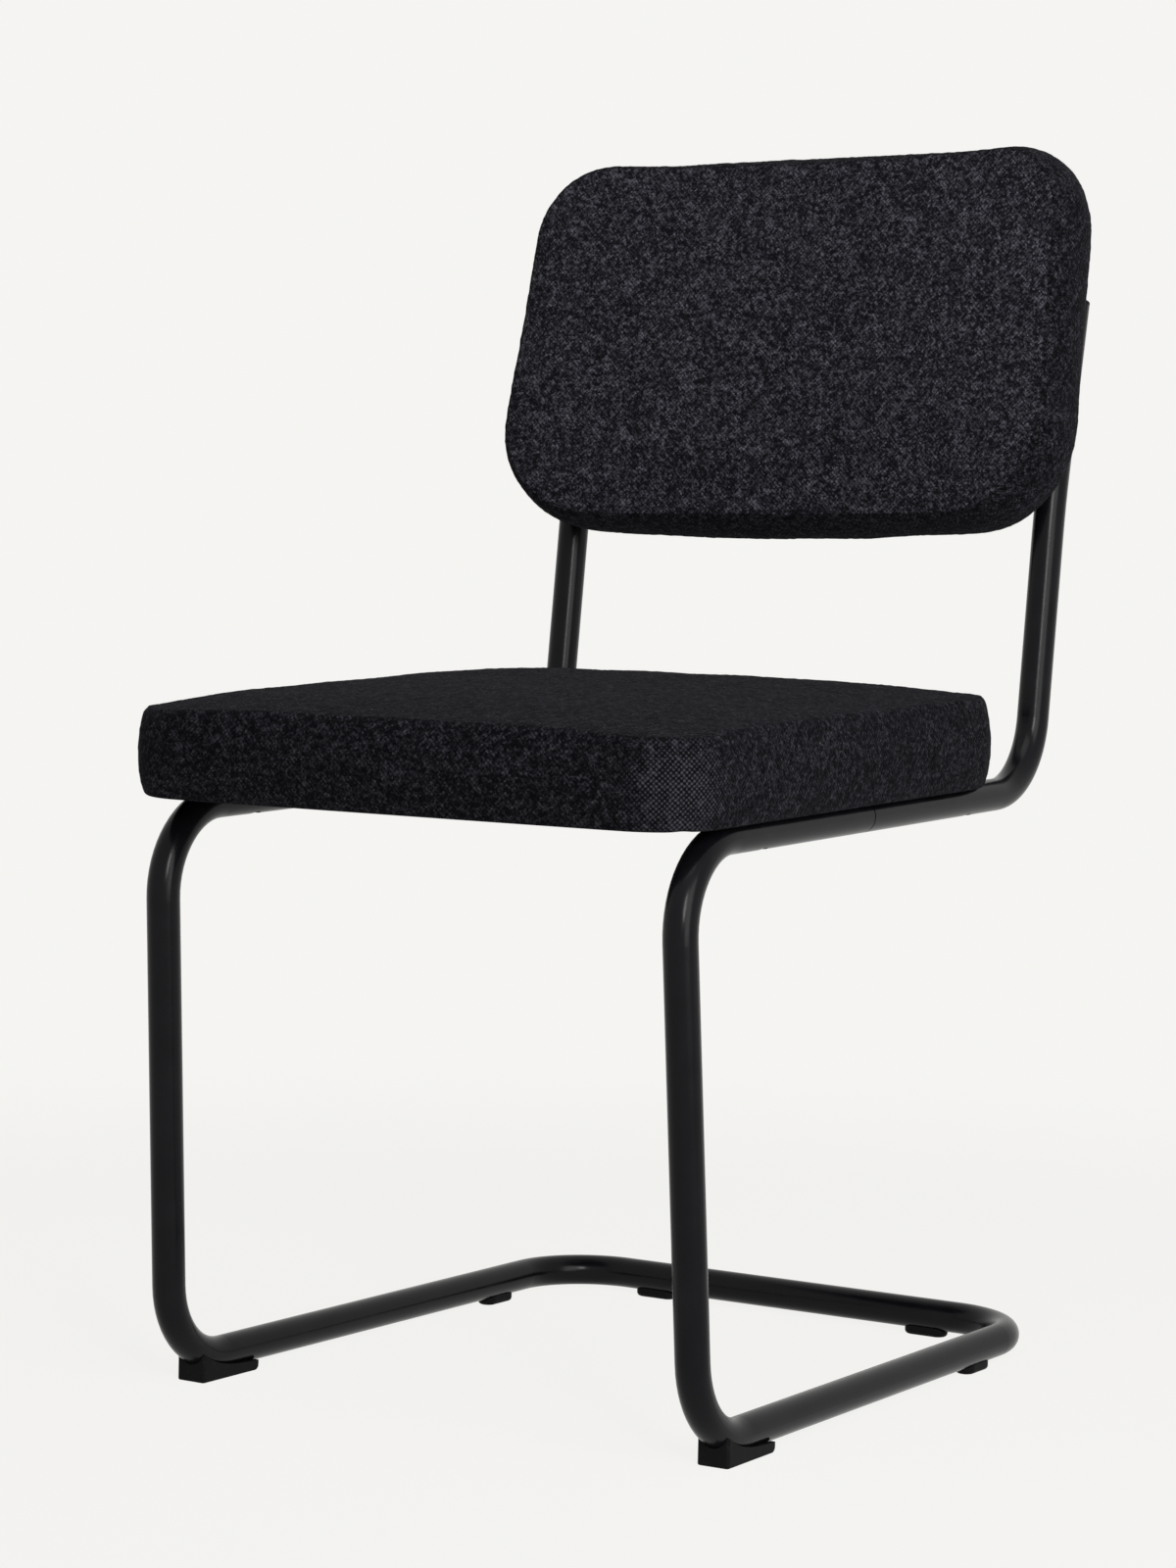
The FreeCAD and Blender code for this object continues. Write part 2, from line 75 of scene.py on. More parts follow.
# shader writing: numbers as Python expressions, every other node from one call
class Wire:
    def __init__(self, look, socket):
        self.look = look
        self.socket = socket

    def maths(self, operation, first, second):
        return self.look.maths(operation, first, second)

    def __add__(self, other):
        return self.maths("ADD", self, other)

    def __radd__(self, other):
        return self.maths("ADD", other, self)

    def __sub__(self, other):
        return self.maths("SUBTRACT", self, other)

    def __rsub__(self, other):
        return self.maths("SUBTRACT", other, self)

    def __mul__(self, other):
        return self.maths("MULTIPLY", self, other)

    def __rmul__(self, other):
        return self.maths("MULTIPLY", other, self)

    def __pow__(self, other):
        return self.maths("POWER", self, other)


class Look:
    def __init__(self, name, shelf=bpy.data.materials):
        self.owner = shelf.new(name)
        self.owner.use_nodes = True
        self.tree = self.owner.node_tree
        self.tree.nodes.clear()

    def node(self, kind, settings=None, sockets=None, out=0):
        made = self.tree.nodes.new(kind)
        for name, value in (settings or {}).items():
            setattr(made, name, value)
        for name, value in (sockets or {}).items():
            if isinstance(value, Wire):
                self.tree.links.new(value.socket, made.inputs[name])
            else:
                made.inputs[name].default_value = value
        return Wire(self, made.outputs[out]) if made.outputs else None

    def maths(self, operation, first, second):
        return self.node("ShaderNodeMath", {"operation": operation}, {0: first, 1: second})

    def place(self):
        return self.node("ShaderNodeTexCoord", out="Object")

    def stretched(self, vector, times):
        return self.node("ShaderNodeVectorMath", {"operation": "MULTIPLY"}, {0: vector, 1: times})

    def grain(self, vector, scale, detail=2.0, roughness=0.5):
        return self.node("ShaderNodeTexNoise", None, {
            "Vector": vector, "Scale": scale, "Detail": detail, "Roughness": roughness})

    def between(self, value, low, high):
        return self.node("ShaderNodeMapRange", {"interpolation_type": "SMOOTHSTEP"}, {
            "Value": value, "From Min": low, "From Max": high})

    def blended(self, share, first, second):
        return self.node("ShaderNodeMix", {"data_type": "RGBA"}, {
            0: share, 6: (*first, 1) if isinstance(first, tuple) else first,
            7: (*second, 1) if isinstance(second, tuple) else second}, out=2)

    def bump(self, height, depth, strength=1.0, normal=None):
        sockets = {"Height": height, "Distance": depth, "Strength": strength}
        if normal:
            sockets["Normal"] = normal
        return self.node("ShaderNodeBump", None, sockets)

    def finish(self, sockets):
        surface = self.node("ShaderNodeBsdfPrincipled", None, sockets)
        self.node("ShaderNodeOutputMaterial", None, {"Surface": surface})
        return self.owner

    def backgroundShare(self):
        # 1 where the camera, a reflection or clear glass looks, 0 for light on the object
        share = None
        for ray in ("Is Camera Ray", "Is Glossy Ray", "Is Transmission Ray"):
            seen = self.node("ShaderNodeLightPath", out=ray)
            share = seen if share is None else self.maths("MAXIMUM", share, seen)
        return share


# woven boucle cloth of the two cushions: lengths in metres, and scales per metre
cloth = {
    "dark": (0.0058, 0.0055, 0.0076),
    "light": (0.150, 0.145, 0.176),
    "weave": 0.0035,
    "wander": 0.0011,
    "wanderScale": 150.0,
    "loop": 330,
    "strand": 820,
    "clump": 330,
    "mottle": 90,
    "loopShare": 0.22,
    "strandShare": 0.34,
    "clumpShare": 0.9,
    "mottleShare": 0.35,
    "evenTint": 0.20,
    "fleckRange": (0.05, 0.95),
    "fleckPower": 2.6,
    "weaveShare": 0.8,
    "evenShare": 0.4,
    "relief": 0.0009,
    "weaveRelief": 0.0005,
    "roughness": 0.95,
    "shine": 0.03,
    "sheen": 0.02,
    "sheenTint": (0.75, 0.76, 0.85, 1),
    # painted glint: a patch near the seat's front right corner where the weave is painted bright as a
    # highlight and the ordinary flecks are dimmed
    "paintedGlintAt": (0.214, -0.283, 0.437),
    "paintedGlintRange": (0.008, 0.046),
    "paintedGlintDimming": 0.3,
    "paintedGlintPower": 4,
    "paintedGlintMottle": 3.0,
    "paintedGlintClump": 2.0,
    "paintedGlintLess": 0.9,
    # the four tones are painted light and shade: one boucle made darker on the seat and the borders and
    # brighter on the back's face, for the light each piece gets
    "seatShadeTone": 0.35,
    "seatBorderShadeTone": 0.40,
    "backLightTone": 0.95,
    "backBorderShadeTone": 0.46,
}


def boucle(name, tone, stretched):
    look = Look(name)
    place = look.place()
    flat = look.node("ShaderNodeTexCoord", out="UV")
    wander = look.node("ShaderNodeTexNoise", None, {
        "Vector": place, "Scale": cloth["wanderScale"], "Detail": 1.0}, out="Color")
    bent = look.node("ShaderNodeVectorMath", {"operation": "MULTIPLY_ADD"}, {
        0: wander, 1: (cloth["wander"],) * 3, 2: flat})
    across = look.node("ShaderNodeSeparateXYZ", None, {"Vector": bent}, out="X")
    along = look.node("ShaderNodeSeparateXYZ", None, {"Vector": bent}, out="Y")
    times = 2 * math.pi / cloth["weave"]
    threadAcross = look.maths("COSINE", across * times, 0)
    threadAlong = look.maths("COSINE", along * times, 0)
    weave = threadAcross * threadAlong * 0.5 + 0.5

    def tufts(scale):
        sockets = {"Vector": place, "Scale": scale}
        gap = look.node("ShaderNodeTexVoronoi", {"feature": "F1"}, sockets)
        tint = look.node("ShaderNodeTexVoronoi", {"feature": "F1"}, sockets, out="Color")
        return gap, look.node("ShaderNodeSeparateColor", None, {"Color": tint})

    loopGap, loopTint = tufts(cloth["loop"])
    strandGap, strandTint = tufts(cloth["strand"])
    clump = look.grain(place, cloth["clump"], 2.0, 0.6)
    mottle = look.grain(place, cloth["mottle"], 3.0, 0.6)
    tint = loopTint * cloth["loopShare"] + strandTint * cloth["strandShare"]
    tint = tint + (clump - 0.5) * cloth["clumpShare"] + (mottle - 0.5) * cloth["mottleShare"]
    tint = tint + cloth["evenTint"]
    fleck = look.between(tint, *cloth["fleckRange"]) ** cloth["fleckPower"]
    fleck = fleck * (weave * cloth["weaveShare"] + cloth["evenShare"])
    # painted glint: near the seat's front right corner the weave is painted bright as a highlight, with the
    # flecks around it dimmed
    if stretched:
        away = look.node("ShaderNodeVectorMath", {"operation": "DISTANCE"}, {
            0: place, 1: cloth["paintedGlintAt"]}, out="Value")
        near = 1 - look.between(away, *cloth["paintedGlintRange"])
        glint = mottle * cloth["paintedGlintMottle"] + clump * cloth["paintedGlintClump"] - cloth["paintedGlintLess"]
        glintWeave = near * weave ** cloth["paintedGlintPower"]
        fleck = fleck * (1 - near * cloth["paintedGlintDimming"]) + glintWeave * glint
    dark, light = [tuple(channel * tone for channel in cloth[end]) for end in ("dark", "light")]
    threads = look.bump(weave, cloth["weaveRelief"], 0.7)
    return look.finish({
        "Base Color": look.blended(fleck, dark, light),
        "Roughness": cloth["roughness"],
        "Specular IOR Level": cloth["shine"],
        "Normal": look.bump(1 - loopGap * 0.7 - strandGap * 0.3, cloth["relief"], 0.8, threads),
        "Sheen Weight": cloth["sheen"],
        "Sheen Roughness": 0.5,
        "Sheen Tint": cloth["sheenTint"]})


# satin black powder coat of the frame
coat = {
    "colour": (0.0042, 0.0041, 0.0055),
    "pale": (0.0060, 0.0059, 0.0075),
    "cloud": 35,
    "cloudRange": (0.35, 0.7),
    "roughnessSwing": 0.12,
    "peel": 1300,
    "peelRelief": 0.00002,
    "roughness": 0.22,
    "shine": 0.12,
}


def powderCoat():
    look = Look("powderCoat")
    place = look.place()
    cloudy = look.grain(place, coat["cloud"], 3.0)
    peel = look.grain(place, coat["peel"], 2.0)
    paler = look.between(cloudy, *coat["cloudRange"])
    return look.finish({
        "Base Color": look.blended(paler, coat["colour"], coat["pale"]),
        "Roughness": coat["roughness"] + (cloudy - 0.5) * coat["roughnessSwing"],
        "Specular IOR Level": coat["shine"],
        "Normal": look.bump(peel, coat["peelRelief"], 0.6)})


# moulded black plastic of the feet, glides and caps
plastic = {
    "colour": (0.0040, 0.0040, 0.0045),
    "rubbed": (0.0095, 0.0095, 0.0100),
    "grain": 2200,
    "grainRelief": 0.00006,
    "rub": 120,
    "rubRange": (0.5, 0.75),
    "roughnessSwing": 0.12,
    "roughness": 0.55,
    "shine": 0.08,
}


def mouldedPlastic():
    look = Look("mouldedPlastic")
    place = look.place()
    grain = look.grain(place, plastic["grain"], 2.0)
    rubbed = look.grain(place, plastic["rub"], 4.0, 0.65)
    worn = look.between(rubbed, *plastic["rubRange"])
    return look.finish({
        "Base Color": look.blended(worn, plastic["colour"], plastic["rubbed"]),
        "Roughness": plastic["roughness"] + rubbed * plastic["roughnessSwing"],
        "Specular IOR Level": plastic["shine"],
        "Normal": look.bump(grain, plastic["grainRelief"], 0.6)})


# turned steel of the bolts, screws, nuts and sleeves
steel = {
    "brush": (900, 900, 120),
    "patch": 260,
    "patchRange": (0.4, 0.65),
    "paler": 1.35,
    "roughnessSwing": 0.15,
    "relief": 0.00003,
}


def turnedSteel(name, colour, roughness, metallic):
    look = Look(name)
    place = look.place()
    brushed = look.grain(look.stretched(place, steel["brush"]), 1.0, 2.0)
    patches = look.grain(place, steel["patch"], 3.0)
    paler = tuple(channel * steel["paler"] for channel in colour)
    return look.finish({
        "Base Color": look.blended(look.between(patches, *steel["patchRange"]), colour, paler),
        "Metallic": metallic,
        "Roughness": roughness + brushed * steel["roughnessSwing"],
        "Normal": look.bump(brushed, steel["relief"], 0.5)})


# spun cloth under the seat
spun = {
    "dark": (0.008, 0.008, 0.009),
    "light": (0.026, 0.026, 0.028),
    "dimple": 650.0,
    "dimpleRange": (0.18, 0.34),
    "fibre": (900, 400, 900),
    "relief": 0.00015,
}


def spunCloth():
    look = Look("spunCloth")
    place = look.place()
    dimples = look.node("ShaderNodeTexVoronoi", {"feature": "F1"}, {
        "Vector": place, "Scale": spun["dimple"], "Randomness": 0.25})
    fibres = look.grain(look.stretched(place, spun["fibre"]), 1.0, 4.0, 0.7)
    pressed = look.between(dimples, *spun["dimpleRange"])
    return look.finish({
        "Base Color": look.blended(fibres * 0.6 + pressed * 0.4, spun["dark"], spun["light"]),
        "Roughness": 0.85 - fibres * 0.1,
        "Specular IOR Level": 0.3,
        "Normal": look.bump(pressed + fibres * 0.4, spun["relief"], 0.8)})


# plies and foam inside the cushions
inside = {
    "plyDark": (0.42, 0.27, 0.14),
    "plyLight": (0.68, 0.50, 0.31),
    "layer": 160.0,
    "plyGrain": (30, 260, 260),
    "foamLight": (0.52, 0.50, 0.42),
    "foamDark": (0.30, 0.28, 0.22),
    "cell": 900.0,
}


def plies():
    look = Look("plies")
    place = look.place()
    layers = look.node("ShaderNodeTexWave", {"bands_direction": "Z"}, {
        "Vector": place, "Scale": inside["layer"], "Distortion": 0.6, "Detail": 2.0, "Detail Scale": 20.0})
    grain = look.grain(look.stretched(place, inside["plyGrain"]), 1.0, 5.0, 0.6)
    return look.finish({
        "Base Color": look.blended(layers * 0.35 + grain * 0.6, inside["plyDark"], inside["plyLight"]),
        "Roughness": 0.7 + grain * 0.1,
        "Normal": look.bump(grain, 0.0001, 0.5)})


def foamCells():
    look = Look("foamCells")
    place = look.place()
    cells = look.node("ShaderNodeTexVoronoi", {"feature": "F1"}, {"Vector": place, "Scale": inside["cell"]})
    return look.finish({
        "Base Color": look.blended(cells, inside["foamLight"], inside["foamDark"]),
        "Roughness": 0.95 - cells * 0.05,
        "Normal": look.bump(cells, 0.0003, 0.8)})


# the cushions' boucle in four copies whose tones are painted light and shade; the seat border copy also
# carries the painted glint at the front right corner
seatShadedCloth = boucle("seatBoucleShaded", cloth["seatShadeTone"], False)
seatBorderShadedCloth = boucle("seatBorderBoucleShaded", cloth["seatBorderShadeTone"], True)
backLitCloth = boucle("backBoucleLit", cloth["backLightTone"], False)
backBorderShadedCloth = boucle("backBorderBoucleShaded", cloth["backBorderShadeTone"], False)
coatPaint = powderCoat()
plasticPaint = mouldedPlastic()
boltPaint = turnedSteel("blackBoltSteel", (0.020, 0.020, 0.022), 0.34, 0.8)
zincPaint = turnedSteel("zincPlate", (0.45, 0.45, 0.46), 0.28, 1.0)
# the sleeves' steel is made dark so the gap at each tube joint shows dark: painted shade
sleevePaint = turnedSteel("sleeveSteel", (0.05, 0.05, 0.055), 0.45, 0.9)
spunPaint = spunCloth()
pliesPaint = plies()
foamPaint = foamCells()

finishes = {
    "base_frame": coatPaint, "back_post_left": coatPaint, "back_post_right": coatPaint,
    "joint_sleeve_left": sleevePaint, "joint_sleeve_right": sleevePaint,
    "post_cap_left": plasticPaint, "post_cap_right": plasticPaint,
    "front_foot_left": plasticPaint, "front_foot_right": plasticPaint,
    "rail_glide_left": plasticPaint, "rail_glide_right": plasticPaint,
    "bar_glide_left": plasticPaint, "bar_glide_right": plasticPaint,
    "seat_bolts": boltPaint, "back_bolts": boltPaint, "foot_screws": zincPaint,
    "seat_t_nuts": zincPaint, "back_t_nuts": zincPaint,
    "seat_board": pliesPaint, "back_board": pliesPaint,
    "seat_foam": foamPaint, "back_foam": foamPaint, "back_lining": foamPaint,
    "seat_cover": seatShadedCloth, "back_cover": backLitCloth, "seat_dust_cover": spunPaint,
}
for name, paint in finishes.items():
    data = cad[name].data
    data.materials.clear()
    data.materials.append(paint)
print("finishes made:", len(finishes), "nodes")


# where the cushions sit: their own axes in the row frame
def cushionFrame(origin, tilt):
    turn = Matrix.Rotation(math.radians(tilt), 4, "X")
    return Matrix.Translation(origin) @ turn


seatPlace = cushionFrame((0, -0.268541, 0.403), 1.5)
backPlace = cushionFrame((0, 0.246556, 0.62243), -11.45)


def addPiece(name, points, faces, paint, flat=None, borderPaint=None):
    mesh = bpy.data.meshes.new(name)
    mesh.from_pydata([tuple(point) for point in points], [], faces)
    if flat:
        grid = mesh.uv_layers.new(name="cloth")
        mesh.materials.append(paint)
        mesh.materials.append(borderPaint)
        for polygon, (spots, onBorder) in zip(mesh.polygons, flat):
            polygon.material_index = 1 if onBorder else 0
            for corner, spot in zip(polygon.loop_indices, spots):
                grid.data[corner].uv = spot
    else:
        mesh.materials.append(paint)
    mesh.polygons.foreach_set("use_smooth", [True] * len(mesh.polygons))
    mesh.update()
    made = bpy.data.objects.new(name, mesh)
    scene.collection.objects.link(made)
    return made


def roundedPoint(u, v, form):
    # a point of the unit square's edge, moved to a rounded outline
    width, low, high = form["halfWidth"], form["low"], form["high"]
    middle = (low + high) / 2
    x, y = u * width, middle + v * (high - low) / 2
    radius = form["lowCorner"] if v < 0 else form["highCorner"]
    fromSide = width - abs(x)
    fromEnd = (high - low) / 2 * (1 - abs(v))
    if fromSide < radius and fromEnd < radius:
        if fromSide < fromEnd:
            angle = math.pi / 4 * (1 - fromEnd / radius)
        else:
            angle = math.pi / 4 * (1 + fromSide / radius)
        endSign = 1 if v > 0 else -1
        x = math.copysign(width - radius + radius * math.cos(angle), u)
        y = (high if v > 0 else low) - endSign * radius * (1 - math.sin(angle))
    return x, y


def shell(columns, rows, layers, form, place):
    # closed form: a grid for the face, rings down its border, and a grid for the far side
    def onGrid(i, j):
        u, v = 2 * i / columns - 1, 2 * j / rows - 1
        reach = max(abs(u), abs(v))
        if reach < 1e-6:
            return (0, (form["low"] + form["high"]) / 2), 0
        x, y = roundedPoint(u / reach, v / reach, form)
        middle = (form["low"] + form["high"]) / 2
        return (x * reach, middle + (y - middle) * reach), reach

    rim = [(i, 0) for i in range(columns)] + [(columns, j) for j in range(rows)]
    rim += [(i, rows) for i in range(columns, 0, -1)] + [(0, j) for j in range(rows, 0, -1)]
    points, faces, where = [], [], []
    faceIndex, farIndex = {}, {}
    for j in range(rows + 1):
        for i in range(columns + 1):
            faceIndex[i, j] = len(points)
            spot, reach = onGrid(i, j)
            points.append(place(spot, 0, reach))
            where.append(("seam" if reach > 0.999 else "face", 0))
    rings = [[faceIndex[spot] for spot in rim]]
    for layer in range(1, layers + 1):
        ring = []
        for i, j in rim:
            ring.append(len(points))
            spot, reach = onGrid(i, j)
            points.append(place(spot, layer, 1))
            where.append(("border", layer))
        rings.append(ring)
    for spot, index in zip(rim, rings[-1]):
        farIndex[spot] = index
    for j in range(1, rows):
        for i in range(1, columns):
            farIndex[i, j] = len(points)
            spot, reach = onGrid(i, j)
            points.append(place(spot, layers, reach))
            where.append(("far", layers))
    flat = []
    for j in range(rows):
        for i in range(columns):
            square = [(i, j), (i + 1, j), (i + 1, j + 1), (i, j + 1)]
            spread = [onGrid(*spot)[0] for spot in square]
            faces.append([faceIndex[spot] for spot in square])
            flat.append((spread, False))
            faces.append([farIndex[spot] for spot in reversed(square)])
            flat.append((spread[::-1], False))
    around = len(rim)
    middle = rings[len(rings) // 2]
    runs = [0]
    for k in range(around):
        runs.append(runs[-1] + (points[middle[(k + 1) % around]] - points[middle[k]]).length)
    down = 0
    for near, far in zip(rings, rings[1:]):
        below = down - (points[near[0]] - points[far[0]]).length
        for k in range(around):
            after = (k + 1) % around
            faces.append([near[k], far[k], far[after], near[after]])
            corners = [(runs[k], down), (runs[k], below), (runs[k + 1], below), (runs[k + 1], down)]
            flat.append((corners, True))
        down = below
    return points, faces, flat, where


stuffing = {"frames": 20, "quality": 6, "mass": 0.25, "stiffness": 12, "bending": 1.5}


def swollen(piece, held, pressure, cap):
    # cloth under a little pressure, held at its seams and where it rests
    group = piece.vertex_groups.new(name="held")
    for index, weight in enumerate(held):
        if weight > 0:
            group.add([index], weight, "REPLACE")
    before = [point.co.copy() for point in piece.data.vertices]
    work = piece.modifiers.new("stuffing", "CLOTH")
    work.settings.vertex_group_mass = "held"
    work.settings.use_pressure = True
    work.settings.uniform_pressure_force = pressure
    work.settings.effector_weights.gravity = 0
    work.settings.quality = stuffing["quality"]
    work.settings.mass = stuffing["mass"]
    work.settings.tension_stiffness = stuffing["stiffness"]
    work.settings.compression_stiffness = stuffing["stiffness"]
    work.settings.bending_stiffness = stuffing["bending"]
    work.point_cache.frame_start = 1
    work.point_cache.frame_end = stuffing["frames"]
    for moment in range(1, stuffing["frames"] + 1):
        scene.frame_set(moment)
    seen = piece.evaluated_get(bpy.context.evaluated_depsgraph_get())
    after = [point.co.copy() for point in seen.data.vertices]
    piece.modifiers.remove(work)
    scene.frame_set(1)
    most = 0
    for point, start, end in zip(piece.data.vertices, before, after):
        move = end - start
        if move.length > 1e-7:
            most = max(most, move.length)
            move *= cap * math.tanh(move.length / cap) / move.length
        point.co = start + move
    piece.vertex_groups.clear()
    piece.data.update()
    print(piece.name, "swells by up to", round(most * 1000, 1), "mm before the cap")


def subdivided(piece, levels, where, crease):
    sharp = piece.data.attributes.new("crease_edge", "FLOAT", "EDGE")
    for edge in piece.data.edges:
        if all(where[corner][0] == "seam" for corner in edge.vertices):
            sharp.data[edge.index].value = crease
    work = piece.modifiers.new("finer", "SUBSURF")
    work.levels = levels
    work.render_levels = levels
    seen = piece.evaluated_get(bpy.context.evaluated_depsgraph_get())
    mesh = bpy.data.meshes.new_from_object(seen)
    piece.modifiers.remove(work)
    old = piece.data
    piece.data = mesh
    bpy.data.meshes.remove(old)
    mesh.name = piece.name
    mesh.polygons.foreach_set("use_smooth", [True] * len(mesh.polygons))


def napped(piece, nap, spared=None):
    # loops of the cloth that stand proud of the surface
    mesh = piece.data
    normals = [point.normal.copy() for point in mesh.vertices]
    for point, normal in zip(mesh.vertices, normals):
        share = spared(point.co) if spared else 1
        fine = noise.noise(point.co / nap["fine"])
        broad = noise.noise(point.co / nap["broad"] + Vector((7, 3, 5)))
        point.co += normal * share * (nap["fineHeight"] * fine + nap["broadHeight"] * broad)
    mesh.update()


nap = {
    "fine": 0.0042,
    "fineHeight": 0.0006,
    "broad": 0.045,
    "broadHeight": 0.0009,
    "sparedRange": (0.001, 0.008),
}
seamCrease = 0.8


# the seat cushion
seat = {
    "halfWidth": 0.2228,
    "low": -0.0238,
    "high": 0.4252,
    "lowCorner": 0.0442,
    "highCorner": 0.0533,
    "bow": 0.0026,
    "bottom": 0.0118,
    "hang": 0.0032,
    "hangRun": 0.018,
    "overRail": 0.2060,
    "pastRail": 0.2140,
    "frontHangEnds": 0.006,
    "seam": 0.0720,
    "crown": 0.0112,
    "sideCrownPower": 4,
    "frontCrownPower": 3,
    "rearCrownPower": 5,
    "bulge": 0.0049,
    "roll": 0.0046,
    "seamDepth": 0.0022,
    "cornerDroop": 0.004,
    "droopRange": (1.45, 1.95),
    "swell": 0.0015,
    "pressure": 4.0,
}
borderShares = (0.04, 0.12, 0.24, 0.38, 0.52, 0.66, 0.79, 0.90, 0.97)


def smooth(value, low, high):
    share = min(max((value - low) / (high - low), 0), 1)
    return share * share * (3 - 2 * share)


def seatUnderside(x, s):
    # the cloth hangs a little lower outside the rails and along the front
    outside = smooth(abs(x), seat["overRail"], seat["pastRail"])
    ahead = 1 - smooth(s, seat["frontHangEnds"] - seat["hangRun"], seat["frontHangEnds"])
    return seat["bottom"] - seat["hang"] * max(outside, ahead)


def seatPoint(spot, layer, reach):
    x, s = spot
    middle = (seat["low"] + seat["high"]) / 2
    half = (seat["high"] - seat["low"]) / 2
    frontShare = max(middle - s, 0) / half
    s -= seat["bow"] * (1 - (x / seat["halfWidth"]) ** 2) * frontShare
    out = Vector((x, s - middle)).normalized() if reach > 0 else Vector((0, 0))
    last = len(borderShares) + 3
    u, v = x / seat["halfWidth"], (s - middle) / half
    # only the two front corners of the top droop
    droop = seat["cornerDroop"] * smooth(abs(u) + abs(v), *seat["droopRange"]) if v < 0 else 0
    if layer == 0:
        power = seat["frontCrownPower"] if v < 0 else seat["rearCrownPower"]
        rise = seat["crown"] * (1 - abs(u) ** seat["sideCrownPower"]) * (1 - min(abs(v), 1) ** power)
        inward = seat["seamDepth"] if reach > 0.999 else 0
        return seatPlace @ Vector((x - out.x * inward, s - out.y * inward, seat["seam"] + rise - droop))
    rise = 0
    if layer <= len(borderShares):
        share = borderShares[layer - 1]
        grow = seat["bulge"] * 4 * share * (1 - share)
    elif layer < last:
        share = 1
        turn = math.pi / 4 * (layer - len(borderShares))
        rise = seat["roll"] * 0.3 * (1 - math.sin(turn))
        grow = -seat["roll"] * (1 - math.cos(turn))
    else:
        share = 1
        grow = -seat["roll"] * 2 * reach
    x, s = x + out.x * grow, s + out.y * grow
    under = seatUnderside(x, s)
    n = seat["seam"] + (under - seat["seam"]) * share - droop * (1 - share) + rise
    return seatPlace @ Vector((x, s, n))


def makeSeatPad():
    points, faces, flat, where = shell(78, 80, len(borderShares) + 3, seat, seatPoint)
    pad = addPiece("seat_pad", points, faces, seatShadedCloth, flat, seatBorderShadedCloth)
    firm = len(borderShares)
    held = [1 if part in ("seam", "far") or layer >= firm else 0 for part, layer in where]
    swollen(pad, held, seat["pressure"], seat["swell"])
    subdivided(pad, 1, where, seamCrease)
    upright = seatPlace.inverted()

    def spared(point):
        above = (upright @ point).z - seat["bottom"]
        return smooth(above, *nap["sparedRange"])

    napped(pad, nap, spared)
    return pad


seatPad = makeSeatPad()
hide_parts("seat_cover", "seat_foam")
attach(seatPad, "root")
print("seat pad made:", len(seatPad.data.polygons), "faces")


# the back cushion, bent round the sitter
back = {
    "halfWidth": 0.2297,
    "low": -0.0253,
    "high": 0.2452,
    "lowCorner": 0.0750,
    "highCorner": 0.0555,
    "taper": 0.054,
    "thickness": 0.0619,
    "curve": 1.200,
    "postSpread": 0.204,
    "gap": 0.0118,
    "crown": 0.0080,
    "crownPower": 4,
    "bulge": 0.0094,
    "seamDepth": 0.0020,
    "turn": 0.019,
    "skew": 0.015,
    "swell": 0.0015,
    "pressure": 4.0,
}
backShares = (0.05, 0.14, 0.27, 0.42, 0.58, 0.73, 0.86, 0.95)


def backDepth(x, depth):
    axis = back["curve"] + back["gap"]
    center = -math.sqrt(axis ** 2 - back["postSpread"] ** 2)
    return center + math.sqrt((back["curve"] - depth) ** 2 - x ** 2)


def backPoint(spot, layer, reach):
    x, s = spot
    middle = (back["low"] + back["high"]) / 2
    half = (back["high"] - back["low"]) / 2
    out = Vector((x, s - middle)).normalized() if reach > 0 else Vector((0, 0))
    u, v = x / back["halfWidth"], (s - middle) / half
    last = len(backShares) + 1
    if layer == 0:
        power = back["crownPower"]
        depth = back["thickness"] + back["crown"] * (1 - abs(u) ** power) * (1 - abs(v) ** power)
        grow = -back["seamDepth"] if reach > 0.999 else 0
    elif layer < last:
        share = backShares[layer - 1]
        depth = back["thickness"] * (1 - share)
        grow = back["bulge"] * 4 * share * (1 - share)
    else:
        depth = 0
        grow = -back["seamDepth"] if reach > 0.999 else 0
    x, s = x + out.x * grow, s + out.y * grow
    x *= 1 - back["taper"] * (s - back["low"]) / (back["high"] - back["low"])
    x += back["skew"] * (s - middle)
    turnCos, turnSin = math.cos(back["turn"]), math.sin(back["turn"])
    across = x * turnCos - (s - middle) * turnSin
    upward = (s - middle) * turnCos + x * turnSin + middle
    return backPlace @ Vector((across, backDepth(across, depth), upward))


def makeBackPad():
    points, faces, flat, where = shell(78, 48, len(backShares) + 1, back, backPoint)
    pad = addPiece("back_pad", points, faces, backLitCloth, flat, backBorderShadedCloth)
    last = len(backShares) + 1
    held = [1 if part in ("seam", "far") or layer == last else 0 for part, layer in where]
    swollen(pad, held, back["pressure"], back["swell"])
    subdivided(pad, 1, where, seamCrease)
    upright = backPlace.inverted()

    def spared(point):
        flat = upright @ point
        return smooth(backDepth(flat.x, 0) - flat.y, *nap["sparedRange"])

    napped(pad, nap, spared)
    return pad


backPad = makeBackPad()
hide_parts("back_cover", "back_foam", "back_lining")
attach(backPad, "root")
print("back pad made:", len(backPad.data.polygons), "faces")


# spun cloth stapled under the seat
dust = {
    "halfWidth": 0.190,
    "low": 0.008,
    "high": 0.392,
    "top": 0.0113,
    "sag": 0.0010,
    "ripple": 0.0003,
    "rippleLength": 0.03,
    "thickness": 0.0004,
    "columns": 60,
    "rows": 60,
}


